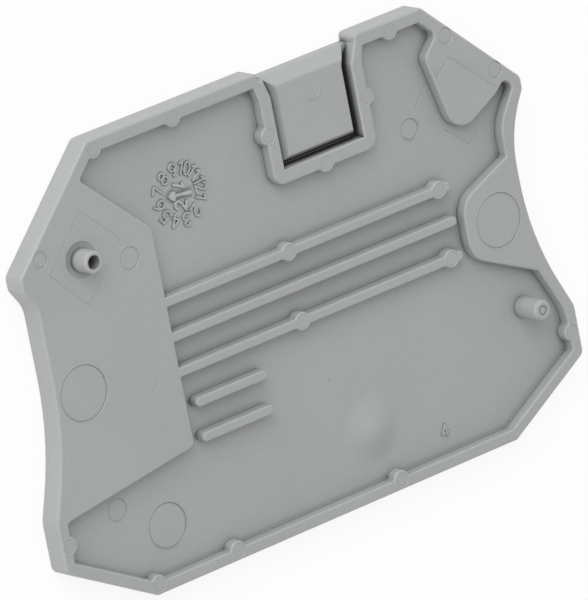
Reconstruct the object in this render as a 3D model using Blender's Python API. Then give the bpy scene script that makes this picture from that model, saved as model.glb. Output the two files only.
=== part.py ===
"""End cover of a rail terminal block, lying on its outer face with the inner side up.

It is one plastic moulding: a plate with a raised rim, a solid plateau on the left, a raised bay and an
island on the right, ribs, a marker frame with a pad under a notch, ejector bosses and two pegs.
The sizes below are in millimetres, and MM turns them into metres. X runs along the ribs, Y runs
from the foot at 0 to the marker notch, and Z points out of the inner side. The finished cover is
centred on the origin. An outline is a list of corners (x, y, radius), anticlockwise.
"""

import math

import bmesh
import bpy
from mathutils import Matrix, Vector

MM = 0.001

# Plate
LENGTH = 57.76
HEIGHT = 40.2
THICKNESS = 2.2
FLOOR = 1.0
OUTER_EDGE = 0.28
INNER_EDGE = 0.2
BACK_EDGE = 0.05
WALL_DRAFT = 0.04
FLOOR_FILLET = 0.12

# Outline of the plate
TOP_CORNER_X = 18.4
TOP_CORNER_RADIUS = 0.8
SHOULDER_X = 27.62
SHOULDER_RADIUS = 0.8
LEFT_SHOULDER_FOOT = 29.75
RIGHT_SHOULDER_FOOT = 29.85
LEFT_SHOULDER_FOOT_RADIUS = 0.5
RIGHT_SHOULDER_FOOT_RADIUS = 0.32
CHEEK_TOP = 9.5
CHEEK_FOOT = 5.05
CHEEK_RADIUS = 0.8
LEFT_CHEEK_TOP_RADIUS = 3.0
RIGHT_CHEEK_TOP_RADIUS = 1.8
FOOT_X = 20.1
FOOT_RADIUS = 0.3
LEFT_WAIST_X = -26.5
LEFT_WAIST_FOOT = 16.3
LEFT_WAIST_TOP = 27.9
LEFT_WAIST_FOOT_RADIUS = 30.0
LEFT_WAIST_TOP_RADIUS = 2.5
RIGHT_WAIST_X = 25.55
RIGHT_WAIST_FOOT = 17.0
RIGHT_WAIST_TOP = 26.5
RIGHT_WAIST_FOOT_RADIUS = 25.0
RIGHT_WAIST_TOP_RADIUS = 10.5

# Rim
RIM = 1.1
TOP_RIM = 1.25
SLANT_RIM = 1.2
RIM_CORNER_RADIUS = 0.2
TOP_RIM_CORNER_RADIUS = 0.3
RIM_BEND_RADIUS = 4.0
RIM_BEND_DROP = 0.2

# Plateau on the left
PLATEAU_X = -13.5
PLATEAU_SHOULDER = 30.88
PLATEAU_FOOT = 11.25
PLATEAU_FOOT_FALL = 1.98
PLATEAU_RADIUS = 0.6
PLATEAU_END_RADIUS = 0.5

# Raised bay on the right
BAY_X = 18.85
BAY_FOOT = 17.13
BAY_TOP = 22.27
BAY_RADIUS = 2.4
BAY_FOOT_RIM = (25.68, 13.76)
BAY_TOP_RIM = (24.5, 24.62)
BAY_FOOT_RIM_RADIUS = 0.4
BAY_TOP_RIM_RADIUS = 0.3

# Island on the right and the slot beside it, with Y as a drop from the top edge
ISLAND_X = 17.85
ISLAND_TOP_DROP = 2.8
ISLAND_TOP_RADIUS = 0.8
ISLAND_FOOT = (19.75, 12.3)
ISLAND_FOOT_RADIUS = 1.85
ISLAND_TIP = (24.6, 9.9)
ISLAND_TIP_RADIUS = 0.3
SLOT_INNER_CORNER = (25.79, 8.92)
SLOT_OUTER_CORNER = (26.62, 9.75)
SLOT_BEND = 12.7
SLOT_RADIUS = 0.5

# Ribs
RIB_WIDTH = 0.88
RIB_END_FLAT = 0.088
RIB_PITCH = 3.14
TOP_RIB = 24.15
LONG_RIBS = 3
LONG_RIB_END = 18.05
SHORT_RIBS = 2
SHORT_RIB_START = -12.5
SHORT_RIB_END = -4.7

# Marker frame, the notch above it and the pad inside it
POCKET_X = 5.6
POCKET_WIDTH = 8.87
POCKET_DEPTH = 9.0
FRAME_WALL = 1.24
FRAME_RADIUS = 1.1
FLARE = 0.5
FLARE_DROP = 2.5
NOTCH_X = 5.52
NOTCH_WIDTH = 10.65
NOTCH_DEPTH = 0.78
NOTCH_RADIUS = 0.45
POCKET_FILLET = 0.02
PAD_HEIGHT = 1.0
PAD_GAP = 0.08

# Pegs
PEG_TIP = 4.0
PEG_CHAMFER = 0.2
PEG_DRAFT = 0.05
SNAP_PEG = (-21.2, 30.6)
SNAP_PEG_RADIUS = 1.0
SNAP_PEG_BORE = 0.6
SNAP_PEG_BORE_FLOOR = 1.0
SNAP_PEG_WELL = 1.55
SNAP_PEG_WELL_DEPTH = 0.25
SNAP_PEG_WELL_DRAFT = 0.1
LOCATING_PEG = (24.0, 10.9)
LOCATING_PEG_RADIUS = 0.95

# Ejector bosses, those at the rim from its outer edge
BOSS_RADIUS = 0.82
BOSS_EDGE = 0.16
BOSS_TO_EDGE = 0.95
TOP_BOSSES = (-17.8, -9.2, 14.75)
FOOT_BOSSES = (-19.85, -11.15, 7.1)
CHEEK_BOSS = 7.3
CHEEK_BOSS_TO_EDGE = 0.85
RIB_BOSSES = (0.0, 16.75)
FRAME_BOSS_IN = 0.25
FRAME_BOSS_DROP = 5.7
FRAME_FOOT_BOSS_OUT = 0.868

ARC_STEP = math.radians(12)
ROUND_SIDES = 20
CUT_PAST = 0.5

PLASTIC_GREY = (0.36, 0.365, 0.36, 1.0)


def clear_scene():
    for old in list(bpy.data.objects):
        bpy.data.objects.remove(old, do_unlink=True)


def rounded(corners):
    """Closed line through the corners, each rounded by an arc of its radius."""
    line = []
    for index, (x, y, radius) in enumerate(corners):
        corner = Vector((x, y))
        back = (Vector(corners[index - 1][:2]) - corner).normalized()
        ahead = (Vector(corners[(index + 1) % len(corners)][:2]) - corner).normalized()
        half = back.angle(ahead) / 2
        turn = math.pi - 2 * half
        side = 1 if back.cross(ahead) < 0 else -1
        centre = corner + (back + ahead).normalized() * radius / math.sin(half)
        start = corner + back * radius / math.tan(half) - centre
        steps = max(1, math.ceil(turn / ARC_STEP)) if radius > 0 else 0
        for step in range(steps + 1):
            angle = side * turn * step / steps if steps else 0
            line.append(centre + Matrix.Rotation(angle, 2) @ start)
    return line


def inset(line, distance):
    """The line moved inwards, or outwards by a negative distance."""
    moved = []
    for index, point in enumerate(line):
        back = (point - line[index - 1]).normalized()
        ahead = (line[(index + 1) % len(line)] - point).normalized()
        normal = Vector((-back.y - ahead.y, back.x + ahead.x)).normalized()
        slant = normal.x * -back.y + normal.y * back.x
        moved.append(point + normal * distance / slant)
    return moved


def loft(name, line, sections):
    """Closed solid through the line, inset at each height of the sections (height, inset)."""
    mesh = bmesh.new()
    rings = []
    for height, distance in sections:
        spots = [Vector((x, y - HEIGHT / 2, height)) * MM for x, y in inset(line, distance)]
        rings.append([mesh.verts.new(spot) for spot in spots])
    mesh.faces.new(rings[0][::-1])
    mesh.faces.new(rings[-1])
    for low, high in zip(rings, rings[1:]):
        for index in range(len(line)):
            mesh.faces.new((low[index - 1], low[index], high[index], high[index - 1]))
    data = bpy.data.meshes.new(name)
    mesh.to_mesh(data)
    mesh.free()
    solid = bpy.data.objects.new(name, data)
    bpy.context.collection.objects.link(solid)
    return solid


def circle(centre, radius):
    turns = [2 * math.pi * side / ROUND_SIDES for side in range(ROUND_SIDES)]
    return [Vector((centre[0] + radius * math.cos(a), centre[1] + radius * math.sin(a))) for a in turns]


def bar(start, end, middle):
    """Line round a rib along X with round ends."""
    half = RIB_WIDTH / 2
    end_radius = half - RIB_END_FLAT / 2
    return rounded([
        (start, middle - half, end_radius),
        (end, middle - half, end_radius),
        (end, middle + half, end_radius),
        (start, middle + half, end_radius),
    ])


def plate_line():
    """Outer line of the plate, with the marker notch in its top edge."""
    half_length = LENGTH / 2
    shoulder = HEIGHT - (SHOULDER_X - TOP_CORNER_X)
    notch_left = NOTCH_X - NOTCH_WIDTH / 2
    notch_right = NOTCH_X + NOTCH_WIDTH / 2
    notch_floor = HEIGHT - NOTCH_DEPTH
    return rounded([
        (-FOOT_X, 0, FOOT_RADIUS),
        (FOOT_X, 0, FOOT_RADIUS),
        (half_length, CHEEK_FOOT, CHEEK_RADIUS),
        (half_length, CHEEK_TOP, RIGHT_CHEEK_TOP_RADIUS),
        (RIGHT_WAIST_X, RIGHT_WAIST_FOOT, RIGHT_WAIST_FOOT_RADIUS),
        (RIGHT_WAIST_X, RIGHT_WAIST_TOP, RIGHT_WAIST_TOP_RADIUS),
        (SHOULDER_X, RIGHT_SHOULDER_FOOT, RIGHT_SHOULDER_FOOT_RADIUS),
        (SHOULDER_X, shoulder, SHOULDER_RADIUS),
        (TOP_CORNER_X, HEIGHT, TOP_CORNER_RADIUS),
        (notch_right, HEIGHT, NOTCH_RADIUS),
        (notch_right, notch_floor, 0),
        (notch_left, notch_floor, 0),
        (notch_left, HEIGHT, NOTCH_RADIUS),
        (-TOP_CORNER_X, HEIGHT, TOP_CORNER_RADIUS),
        (-SHOULDER_X, shoulder, SHOULDER_RADIUS),
        (-SHOULDER_X, LEFT_SHOULDER_FOOT, LEFT_SHOULDER_FOOT_RADIUS),
        (LEFT_WAIST_X, LEFT_WAIST_TOP, LEFT_WAIST_TOP_RADIUS),
        (LEFT_WAIST_X, LEFT_WAIST_FOOT, LEFT_WAIST_FOOT_RADIUS),
        (-half_length, CHEEK_TOP, LEFT_CHEEK_TOP_RADIUS),
        (-half_length, CHEEK_FOOT, CHEEK_RADIUS),
    ])


def tray_line():
    """Line round the sunken floor: the rim, the plateau, the bay and the island lie outside it."""
    foot_angle = math.atan2(CHEEK_FOOT, LENGTH / 2 - FOOT_X)
    foot_x = FOOT_X - RIM * math.tan(foot_angle / 2)
    cheek_x = LENGTH / 2 - RIM
    cheek_foot = CHEEK_FOOT + RIM * math.tan((math.pi / 2 - foot_angle) / 2)
    top = HEIGHT - TOP_RIM
    slant = TOP_CORNER_X + HEIGHT - SLANT_RIM * math.sqrt(2)
    plateau_sum = PLATEAU_X + PLATEAU_SHOULDER
    island_top = HEIGHT - ISLAND_TOP_DROP
    return rounded([
        (-cheek_x, cheek_foot, RIM_CORNER_RADIUS),
        (-foot_x, RIM, RIM_CORNER_RADIUS),
        (foot_x, RIM, RIM_CORNER_RADIUS),
        (cheek_x, cheek_foot, RIM_CORNER_RADIUS),
        (cheek_x, CHEEK_TOP - RIM_BEND_DROP, RIM_BEND_RADIUS),
        (*BAY_FOOT_RIM, BAY_FOOT_RIM_RADIUS),
        (BAY_X, BAY_FOOT, BAY_RADIUS),
        (BAY_X, BAY_TOP, BAY_RADIUS),
        (*BAY_TOP_RIM, BAY_TOP_RIM_RADIUS),
        (BAY_TOP_RIM[0], HEIGHT - SLOT_BEND, RIM_BEND_RADIUS),
        (SLOT_OUTER_CORNER[0], HEIGHT - SLOT_OUTER_CORNER[1], SLOT_RADIUS),
        (SLOT_INNER_CORNER[0], HEIGHT - SLOT_INNER_CORNER[1], SLOT_RADIUS),
        (ISLAND_TIP[0], HEIGHT - ISLAND_TIP[1], ISLAND_TIP_RADIUS),
        (ISLAND_FOOT[0], HEIGHT - ISLAND_FOOT[1], ISLAND_FOOT_RADIUS),
        (ISLAND_X, island_top - (slant - island_top - ISLAND_X), ISLAND_TOP_RADIUS),
        (slant - island_top, island_top, RIM_CORNER_RADIUS),
        (slant - top, top, TOP_RIM_CORNER_RADIUS),
        (top - slant, top, TOP_RIM_CORNER_RADIUS),
        ((plateau_sum - slant) / 2, (plateau_sum + slant) / 2, TOP_RIM_CORNER_RADIUS),
        (PLATEAU_X, PLATEAU_SHOULDER, PLATEAU_RADIUS),
        (PLATEAU_X, PLATEAU_FOOT, PLATEAU_RADIUS),
        (-cheek_x, PLATEAU_FOOT - PLATEAU_FOOT_FALL, PLATEAU_END_RADIUS),
    ])


def pocket_line(grow, top):
    """Line of the marker pocket grown by a wall, with walls that flare out near the notch."""
    half = POCKET_WIDTH / 2 + grow
    foot = HEIGHT - POCKET_DEPTH - grow
    bend = HEIGHT - FLARE_DROP
    mouth = HEIGHT - NOTCH_DEPTH
    radius = FRAME_RADIUS if grow > 0 else 0
    corners = [
        (POCKET_X - half, foot, radius),
        (POCKET_X + half, foot, radius),
        (POCKET_X + half, bend, 0),
        (POCKET_X + half + FLARE, mouth, 0),
        (POCKET_X - half - FLARE, mouth, 0),
        (POCKET_X - half, bend, 0),
    ]
    if top > mouth:
        corners[4:4] = [(POCKET_X + half + FLARE, top, 0), (POCKET_X - half - FLARE, top, 0)]
    return rounded(corners)


def raised(name, line, edge=INNER_EDGE):
    """Something left standing on the floor: a fillet at its foot, draft and a soft top edge."""
    foot = WALL_DRAFT + FLOOR_FILLET
    return loft(name, line, [
        (FLOOR - CUT_PAST, -foot),
        (FLOOR + FLOOR_FILLET - foot, -foot),
        (FLOOR + FLOOR_FILLET + edge - INNER_EDGE, -WALL_DRAFT),
        (THICKNESS - edge, 0),
        (THICKNESS, edge),
        (THICKNESS + 2 * CUT_PAST + edge, edge),
    ])


def sunken(name, line, fillet):
    """Something cut down to the floor, with a fillet round the floor and the same draft and edge."""
    return loft(name, line, [
        (FLOOR, WALL_DRAFT + fillet),
        (FLOOR + fillet, WALL_DRAFT),
        (THICKNESS - INNER_EDGE, 0),
        (THICKNESS, -INNER_EDGE),
        (THICKNESS + CUT_PAST, -INNER_EDGE),
    ])


def rib_lines():
    lines = []
    for index in range(LONG_RIBS + SHORT_RIBS):
        middle = TOP_RIB - index * RIB_PITCH
        if index < LONG_RIBS:
            lines.append(bar(PLATEAU_X - RIM, LONG_RIB_END, middle))
        else:
            lines.append(bar(SHORT_RIB_START, SHORT_RIB_END, middle))
    return lines


def boss_centres():
    centres = [(x, HEIGHT - BOSS_TO_EDGE) for x in TOP_BOSSES]
    centres += [(x, BOSS_TO_EDGE) for x in FOOT_BOSSES]
    centres += [(side * (LENGTH / 2 - CHEEK_BOSS_TO_EDGE), CHEEK_BOSS) for side in (-1, 1)]
    for index in (0, LONG_RIBS - 1):
        centres += [(x, TOP_RIB - index * RIB_PITCH) for x in RIB_BOSSES]
    frame_boss_x = POCKET_WIDTH / 2 + FRAME_WALL - FRAME_BOSS_IN
    frame_boss = HEIGHT - FRAME_BOSS_DROP
    centres += [(POCKET_X + side * frame_boss_x, frame_boss) for side in (-1, 1)]
    centres.append((POCKET_X, HEIGHT - POCKET_DEPTH - FRAME_FOOT_BOSS_OUT))
    return centres


def peg(name, centre, radius, foot):
    return loft(name, circle(centre, radius), [
        (foot - CUT_PAST, 0),
        (foot, -FLOOR_FILLET),
        (foot + FLOOR_FILLET, 0),
        (PEG_TIP - PEG_CHAMFER, PEG_DRAFT),
        (PEG_TIP, PEG_DRAFT + PEG_CHAMFER),
    ])


def hide(tool):
    tool.hide_render = True
    tool.display_type = "WIRE"


def combine(solid, operation, tool):
    step = solid.modifiers.new(operation.lower() + "_" + tool.name, "BOOLEAN")
    step.operation = operation
    step.solver = "EXACT"
    step.object = tool
    hide(tool)


def combine_all(solid, operation, name, tools):
    group = bpy.data.collections.new(name)
    bpy.context.scene.collection.children.link(group)
    for tool in tools:
        bpy.context.collection.objects.unlink(tool)
        group.objects.link(tool)
        hide(tool)
    step = solid.modifiers.new(name, "BOOLEAN")
    step.operation = operation
    step.solver = "EXACT"
    step.operand_type = "COLLECTION"
    step.collection = group


def plastic():
    material = bpy.data.materials.new("grey_polyamide")
    material.use_nodes = True
    shader = material.node_tree.nodes["Principled BSDF"]
    shader.inputs["Base Color"].default_value = PLASTIC_GREY
    shader.inputs["Roughness"].default_value = 0.5
    shader.inputs["Metallic"].default_value = 0.0
    return material


def build_tray():
    """The hollow to cut, with the ribs, the marker frame and the bosses left out of it."""
    tray = sunken("tray", tray_line(), FLOOR_FILLET)
    walls = [raised("marker_frame", pocket_line(FRAME_WALL, HEIGHT))]
    walls += [raised("rib", line) for line in rib_lines()]
    bosses = [raised("boss", circle(centre, BOSS_RADIUS), BOSS_EDGE) for centre in boss_centres()]
    combine_all(tray, "DIFFERENCE", "walls", walls)
    combine_all(tray, "DIFFERENCE", "bosses", bosses)
    return tray


def build_pad():
    """The pad's four sides slope at 45 degrees from the pocket's walls to its flat top."""
    line = inset(pocket_line(0, HEIGHT - NOTCH_DEPTH), PAD_GAP)
    return loft("pad", line, [
        (FLOOR - CUT_PAST, 0),
        (FLOOR, 0),
        (FLOOR + PAD_HEIGHT - INNER_EDGE, PAD_HEIGHT - INNER_EDGE),
        (FLOOR + PAD_HEIGHT, PAD_HEIGHT + INNER_EDGE / 2),
    ])


def build_cover():
    cover = loft("end_cover", plate_line(), [
        (0, BACK_EDGE),
        (BACK_EDGE, 0),
        (THICKNESS - OUTER_EDGE, 0),
        (THICKNESS - OUTER_EDGE * 0.3, OUTER_EDGE * 0.3),
        (THICKNESS, OUTER_EDGE),
    ])
    cover.data.materials.append(plastic())
    combine(cover, "DIFFERENCE", build_tray())
    combine(cover, "DIFFERENCE", sunken("pocket", pocket_line(0, HEIGHT + CUT_PAST), POCKET_FILLET))
    combine(cover, "UNION", build_pad())
    well_floor = THICKNESS - SNAP_PEG_WELL_DEPTH
    well = loft("well", circle(SNAP_PEG, SNAP_PEG_WELL), [
        (well_floor, SNAP_PEG_WELL_DRAFT),
        (THICKNESS + CUT_PAST, -SNAP_PEG_WELL_DRAFT),
    ])
    combine(cover, "DIFFERENCE", well)
    combine(cover, "UNION", peg("snap_peg", SNAP_PEG, SNAP_PEG_RADIUS, well_floor))
    combine(cover, "UNION", peg("locating_peg", LOCATING_PEG, LOCATING_PEG_RADIUS, FLOOR))
    bore = loft("bore", circle(SNAP_PEG, SNAP_PEG_BORE), [(SNAP_PEG_BORE_FLOOR, 0), (PEG_TIP + CUT_PAST, 0)])
    combine(cover, "DIFFERENCE", bore)
    return cover


clear_scene()
build_cover()
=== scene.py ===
import math
from functools import partial

import bpy
import numpy as np
from mathutils import Matrix, Vector
from mathutils.geometry import delaunay_2d_cdt


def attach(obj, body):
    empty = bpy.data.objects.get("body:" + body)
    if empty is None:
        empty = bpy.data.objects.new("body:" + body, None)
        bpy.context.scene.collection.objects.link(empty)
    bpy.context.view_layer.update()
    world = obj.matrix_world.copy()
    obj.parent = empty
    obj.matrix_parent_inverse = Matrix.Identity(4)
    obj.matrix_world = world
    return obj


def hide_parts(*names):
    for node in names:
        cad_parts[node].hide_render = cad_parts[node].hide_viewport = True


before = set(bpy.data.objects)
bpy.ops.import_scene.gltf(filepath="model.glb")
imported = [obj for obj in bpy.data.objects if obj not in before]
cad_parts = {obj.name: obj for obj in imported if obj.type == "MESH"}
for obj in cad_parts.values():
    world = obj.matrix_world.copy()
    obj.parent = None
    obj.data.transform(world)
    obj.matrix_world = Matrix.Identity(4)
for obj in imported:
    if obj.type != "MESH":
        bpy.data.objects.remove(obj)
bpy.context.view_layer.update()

MM = 0.001

# Plate, in millimetres with Y from its foot
LENGTH = 57.76
HEIGHT = 40.2
THICKNESS = 2.2
FLOOR = 1.0
OUTER_EDGE = 0.28
INNER_EDGE = 0.2
BACK_EDGE = 0.05
WALL_DRAFT = 0.04
FLOOR_FILLET = 0.06
CORNER_FILLET = 0.16

# Outline of the plate
TOP_CORNER_X = 18.4
TOP_CORNER_RADIUS = 0.8
SHOULDER_X = 27.62
SHOULDER_RADIUS = 0.8
LEFT_SHOULDER_FOOT = 29.75
LEFT_SHOULDER_FOOT_RADIUS = 0.5
RIGHT_SHOULDER_FOOT = 29.85
RIGHT_SHOULDER_FOOT_RADIUS = 0.4
CHEEK_TOP = 9.5
CHEEK_FOOT = 5.05
CHEEK_RADIUS = 0.8
LEFT_CHEEK_TOP_RADIUS = 3
RIGHT_CHEEK_TOP_RADIUS = 1.8
FOOT_X = 20.1
FOOT_RADIUS = 0.4
LEFT_WAIST_X = -26.5
LEFT_WAIST_FOOT = 16.3
LEFT_WAIST_TOP = 27.9
LEFT_WAIST_FOOT_RADIUS = 30
LEFT_WAIST_TOP_RADIUS = 2.5
RIGHT_WAIST_X = 25.55
RIGHT_WAIST_FOOT = 17.0
RIGHT_WAIST_TOP = 26.5
RIGHT_WAIST_FOOT_RADIUS = 25
RIGHT_WAIST_TOP_RADIUS = 10.5

# Rim and plateau
RIM = 1.1
TOP_RIM = 1.25
SLANT_RIM = 1.2
RIM_CORNER_RADIUS = 0.25
TOP_RIM_CORNER_RADIUS = 0.3
RIM_BEND_RADIUS = 4
RIM_BEND_DROP = 0.2
PLATEAU_X = -13.5
PLATEAU_SHOULDER = 30.88
PLATEAU_FOOT = 11.25
PLATEAU_FOOT_FALL = 1.98
PLATEAU_RADIUS = 0.6
PLATEAU_END_RADIUS = 0.5

# Bay, island and the slot beside it
BAY_X = 18.85
BAY_FOOT = 17.13
BAY_TOP = 22.27
BAY_RADIUS = 2.4
BAY_FOOT_RIM = (25.68, 13.76)
BAY_FOOT_RIM_RADIUS = 0.4
BAY_TOP_RIM = (24.5, 24.62)
BAY_TOP_RIM_RADIUS = 0.3
ISLAND_X = 17.85
ISLAND_TOP = 37.4
ISLAND_TOP_RADIUS = 0.8
ISLAND_SLANT_RADIUS = 0.6
ISLAND_FOOT = (19.75, 27.9)
ISLAND_FOOT_RADIUS = 1.85
ISLAND_TIP = (24.6, 30.3)
ISLAND_TIP_RADIUS = 0.3
SLOT_INNER_CORNER = (25.79, 31.28)
SLOT_OUTER_CORNER = (26.62, 30.45)
SLOT_RADIUS = 0.5
SLOT_BEND = 27.5

# Ribs, each from its start to its end along a middle line
RIB_WIDTH = 0.88
RIBS = [
    (-14.6, 18.05, 24.15),
    (-14.6, 18.05, 21.01),
    (-14.6, 18.05, 17.87),
    (-12.5, -4.7, 14.73),
    (-12.5, -4.7, 11.59),
]

# Marker frame, the notch above it and the pad in its pocket
POCKET_X = 5.6
POCKET_WIDTH = 8.87
POCKET_FOOT = 31.2
POCKET_FILLET = 0.03
FRAME_WALL = 1.24
FRAME_RADIUS = 1.1
FLARE = 0.5
FLARE_FOOT = 37.7
FLARE_CORNERS = ((2, 3), (7, 6))
NOTCH_X = 5.52
NOTCH_WIDTH = 10.65
NOTCH_FLOOR = 39.42
NOTCH_RADIUS = 0.45
PAST_EDGE = 0.5
PAD_TOP = 2.0
PAD_GAP = 0.08
PAD_STEEPNESS = 1.5
PAD_BEND = 0.12
PAD_PAST_NOTCH = 3
GROOVE_FLOOR = 0.75
GROOVE_END = 38.6

# Pegs, as distances from the middle and heights
PEG_TIP = 4.0
SNAP_PEG = (-21.2, 30.6)
SNAP_PEG_RADIUS = 1.0
SNAP_PEG_BORE = [
    (0, 0.9), (0.54, 0.9), (0.58, 0.95),
    (0.615, PEG_TIP - 0.05), (0.63, PEG_TIP - 0.012), (0.655, PEG_TIP),
]
SNAP_PEG_TIP_EDGE = 0.82
SNAP_PEG_TIP_ROUND = 0.08
SNAP_PEG_SIDE = [(0.94, PEG_TIP - 0.15), (0.96, PEG_TIP - 0.24)]
SNAP_PEG_FOOT = 1.99
SNAP_PEG_FOOT_ROUND = 0.05
SNAP_PEG_WELL = [
    (1.12, 2.0), (1.3, 2.03), (1.42, 2.07), (1.5, 2.11),
    (1.56, 2.155), (1.61, 2.188), (1.68, THICKNESS),
]
LOCATING_PEG = (24.0, 10.9)
LOCATING_PEG_RADIUS = 0.95
LOCATING_PEG_DIMPLE = [
    (0, PEG_TIP - 0.06), (0.28, PEG_TIP - 0.06),
    (0.34, PEG_TIP - 0.12), (0.4, PEG_TIP - 0.12),
    (0.46, PEG_TIP - 0.02), (0.5, PEG_TIP),
]
LOCATING_PEG_TIP_EDGE = 0.7
LOCATING_PEG_TIP_ROUND = 0.1
LOCATING_PEG_SIDE = [(0.885, PEG_TIP - 0.26), (0.9, PEG_TIP - 0.33)]
LOCATING_PEG_FOOT_ROUND = 0.06

# Ejector bosses
BOSS_RADIUS = 0.82
BOSSES = [
    (-17.8, 39.25), (-9.2, 39.25), (14.75, 39.25),
    (-19.85, 0.95), (-11.15, 0.95), (7.1, 0.95),
    (-28.03, 7.3), (28.03, 7.3),
    (0.0, 24.15), (16.75, 24.15), (0.0, 17.87), (16.75, 17.87),
    (0.175, 34.5), (11.025, 34.5), (5.6, 30.332),
]

# Date dial: its digits, the year and the arrow, each standing up from a groove
DIAL = (-9.26, 32.27)
DIAL_RADIUS = 2.3
DIAL_REACH = 3.6
MONTH_SIZE = 1.1
NINTH_MONTH_AT = 96
MONTH_STEP = 30
YEAR_DIGITS = [("1", (0.06, 0.83), -116), ("2", (-0.11, -0.88), 74)]
YEAR_SIZE = 1.15
ARROW_TURN = math.radians(173)
ARROW_HALF = [(1.3, 0), (1.02, 0.3), (0.7, 0.48), (0.52, 0.44), (0.42, 0.18), (-1.27, 0.25)]
ARROW_OFFSETS = (-0.3, -0.1, -0.04, 0.06, 0.2)
ARROW_HEIGHTS = (0, -0.08, -0.08, 0.15, 0.2)
STROKE = 0.09
YEAR_STROKE = 0.13
DIGIT_PITCH = 0.56
DIGIT_WIDTH = 0.6
DIGIT_OFFSETS = (-0.12, -0.04, 0.02, 0.06)
DIGIT_HEIGHTS = (0, -0.03, 0.11, 0.13)
NUMERAL = (13.35, 3.05)
NUMERAL_SIZE = 1.05
NUMERAL_TURN = 8
NUMERAL_REACH = 1
NUMERAL_BOX = (12.3, 2.0, 14.4, 4.1)

# Ejector marks, as centre, radius and strength
RINGS = [
    ((-23.6, 19.5), 2.45, 1.0),
    ((22.4, 19.5), 2.45, 1.0),
    ((-16.35, 29.1), 1.0, 0.8),
    ((-16.6, 17.85), 0.7, 0.35),
    ((-16.6, 24.0), 0.8, 0.25),
    ((-17.05, 5.1), 2.0, 1.0),
    ((-21.8, 8.2), 1.0, 0.8),
    ((15.7, 29.9), 0.95, 0.9),
]
BOSS_RING_RADIUS = 0.64
BOSS_RING_STRENGTH = 0.5
RIM_RING_RADIUS = 0.74
RIM_RING_STRENGTH = 0.8
RIM_RINGS = [(20.42, 37.0), (25.0, 32.45), (-25.3, 31.95)]
RINGS += [(centre, BOSS_RING_RADIUS, BOSS_RING_STRENGTH) for centre in BOSSES]
RINGS += [(centre, RIM_RING_RADIUS, RIM_RING_STRENGTH) for centre in RIM_RINGS]
RING_OFFSETS = (-0.14, -0.04, 0.05, 0.14)
RING_HEIGHTS = (-0.03, -0.08, 0.03, 0)
RING_MARGIN = 0.2

# Joint lines of the mould's inserts
JOINT_LINES = [
    [(-20.4, 34.7), (-16.85, 31.0), (-21.3, 26.6), (-24.6, 30.3), (-20.4, 34.7)],
    [(24.8, 30.9), (20.3, 35.05), (18.6, 33.6)],
    [(18.55, 33.45), (16.63, 31.53)],
    [(19.32, 28.74), (21.77, 26.56), (22.93, 27.64)],
]
JOINT_HALF_WIDTH = 0.06
JOINT_SLOPE = 0.045
JOINT_DEPTH = 0.04
JOINT_REACH = 6
JOINT_MARGIN = 0.2

# Dome, pip and the arc on the pad
DOME = (5.8, 5.95)
DOME_RADIUS = 3.3
DOME_HEIGHT = 0.7
PIP = (2.35, 11.4)
PIP_RADIUS = 0.2
PIP_SLOPE = 0.15
PIP_DEPTH = 0.08
PIP_REACH = 0.4
PAD_ARC_CENTRE = (5.65, 36.85)
PAD_ARC_RADIUS = 0.8
PAD_ARC_ANGLES = np.linspace(-0.9, 1.45, 15)
PAD_ARC_MIDDLE = (5.55, 36)
PAD_ARC_REACH = 2
PAD_ARC_HALF_WIDTH = 0.08
PAD_ARC_SLOPE = 0.06
PAD_ARC_HEIGHT = 0.06
PAD_ARC_BOX = (4.3, 35.2, 6.8, 37.2)

# Fineness of the mesh, with its grid shifted off the straight edges
ARC_STEP = math.radians(5)
PLATE_ARC_STEP = math.radians(3)
SMALL_ARC_STEPS = 6
GRID = 0.05
FINE_GRID = 0.025
GRID_SHIFT = (0.137, 0.291)
TOLERANCE = 0.0015
FINE_TOLERANCE = 0.004
EDGE_LINES = (0.01, 0.04, 0.1, 0.18, OUTER_EDGE)
INNER_EDGE_ANGLES = (0, 22, 45, 67)
FLOOR_FILLET_ANGLES = (35, 62, 90)
POCKET_EDGE_LINES = (-INNER_EDGE, -0.13, -0.06, -0.015)
PAD_LINES = (0.001, 0.25, 0.501, 1.0)
PAD_BEND_SHARES = (-1, -0.5, 0, 0.5, 1)
PAD_BOX_HALF = 6
PAD_BOX = (POCKET_X - PAD_BOX_HALF, POCKET_FOOT, POCKET_X + PAD_BOX_HALF, NOTCH_FLOOR + 0.1)
DIAL_BOX_HALF = 3.4
DIAL_BOX = (
    DIAL[0] - DIAL_BOX_HALF, DIAL[1] - DIAL_BOX_HALF,
    DIAL[0] + DIAL_BOX_HALF, DIAL[1] + DIAL_BOX_HALF,
)
ROUND_SIDES = 48
WIDE_SIDES = 96
WIDE_RADIUS = 1.5
PIP_SIDES = 20
PIP_CIRCLES = (0.05, 0.12, PIP_RADIUS)
DOME_CIRCLES = np.linspace(0.3, DOME_RADIUS, 11)
FAR = 60
ENDLESS = 1e9
TINY = 1e-5
SLOPE_STEP = 1e-4
STEP_IN_SHARE = 0.03
STEP_IN_MOST = 0.006
MIDDLE_SHARE = 0.05
SMOOTH_ABOVE = 0.9


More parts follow.
